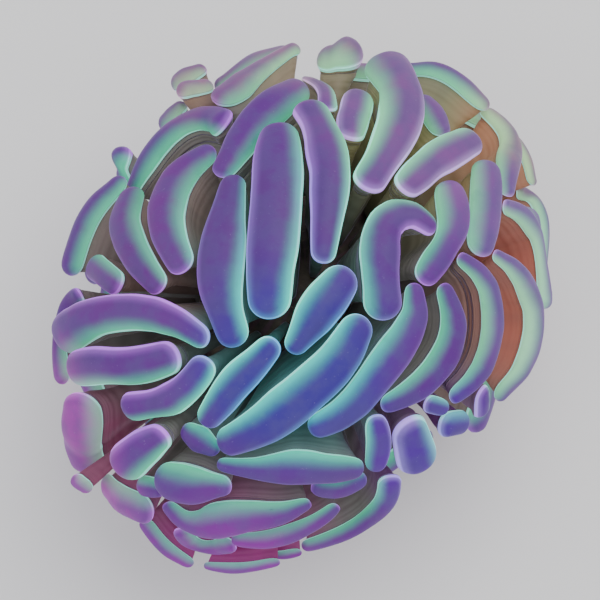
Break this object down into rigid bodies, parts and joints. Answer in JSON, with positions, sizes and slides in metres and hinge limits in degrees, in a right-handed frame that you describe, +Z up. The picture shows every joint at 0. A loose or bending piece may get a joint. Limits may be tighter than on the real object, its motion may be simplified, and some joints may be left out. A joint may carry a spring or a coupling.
{
  "type": "hammer coral",
  "caption": "Rounded colony of fleshy hammer-shaped tentacles on a short ribbed stony stem that is cut off flat.",
  "frame": {"origin": "middle of the flat cut under the stony stem", "axes": "+Z up along the stem to the dome of tentacles, -Y towards the side that the picture was taken from"},
  "size_m": [0.1206, 0.1316, 0.0909],
  "materials": {
    "stony_skeleton": "dry, chalky stone",
    "polyp_flesh": "wet flesh",
    "tentacle_blue": "wet flesh",
    "tentacle_purple": "wet flesh",
    "tentacle_lavender": "wet flesh",
    "tentacle_pale": "wet flesh",
    "tentacle_pinkish_grey": "wet flesh",
    "tentacle_magenta": "wet flesh",
    "tentacle_violet": "wet flesh"
  },
  "bodies": {
    "root": {"stony_skeleton": "stony_skeleton", "polyp_flesh": "polyp_flesh", "tentacle_01": "tentacle_purple", "tentacle_02": "tentacle_purple", "tentacle_03": "tentacle_purple", "tentacle_04": "tentacle_blue", "tentacle_05": "tentacle_blue", "tentacle_06": "tentacle_purple", "tentacle_07": "tentacle_purple", "tentacle_08": "tentacle_lavender", "tentacle_09": "tentacle_lavender", "tentacle_10": "tentacle_lavender", "tentacle_11": "tentacle_lavender", "tentacle_12": "tentacle_lavender", "tentacle_13": "tentacle_lavender", "tentacle_14": "tentacle_lavender", "tentacle_15": "tentacle_lavender", "tentacle_16": "tentacle_pinkish_grey", "tentacle_17": "tentacle_pinkish_grey", "tentacle_18": "tentacle_purple", "tentacle_19": "tentacle_purple", "tentacle_20": "tentacle_purple", "tentacle_21": "tentacle_pinkish_grey", "tentacle_22": "tentacle_purple", "tentacle_23": "tentacle_magenta", "tentacle_24": "tentacle_purple", "tentacle_25": "tentacle_magenta", "tentacle_26": "tentacle_blue", "tentacle_27": "tentacle_purple", "tentacle_28": "tentacle_magenta", "tentacle_29": "tentacle_magenta", "tentacle_30": "tentacle_purple", "tentacle_31": "tentacle_blue", "tentacle_32": "tentacle_blue", "tentacle_33": "tentacle_blue", "tentacle_34": "tentacle_purple", "tentacle_35": "tentacle_pale", "tentacle_36": "tentacle_pale", "tentacle_37": "tentacle_pale", "tentacle_38": "tentacle_pale", "tentacle_39": "tentacle_pale", "tentacle_40": "tentacle_lavender", "tentacle_41": "tentacle_pinkish_grey", "tentacle_42": "tentacle_lavender", "tentacle_43": "tentacle_purple", "tentacle_44": "tentacle_purple", "tentacle_45": "tentacle_magenta", "tentacle_46": "tentacle_magenta", "tentacle_47": "tentacle_magenta", "tentacle_48": "tentacle_violet", "tentacle_49": "tentacle_violet", "tentacle_50": "tentacle_violet", "tentacle_51": "tentacle_violet", "tentacle_52": "tentacle_magenta", "tentacle_53": "tentacle_purple", "tentacle_54": "tentacle_purple", "tentacle_55": "tentacle_purple", "tentacle_56": "tentacle_purple", "tentacle_57": "tentacle_purple"}
  },
  "joints": []
}
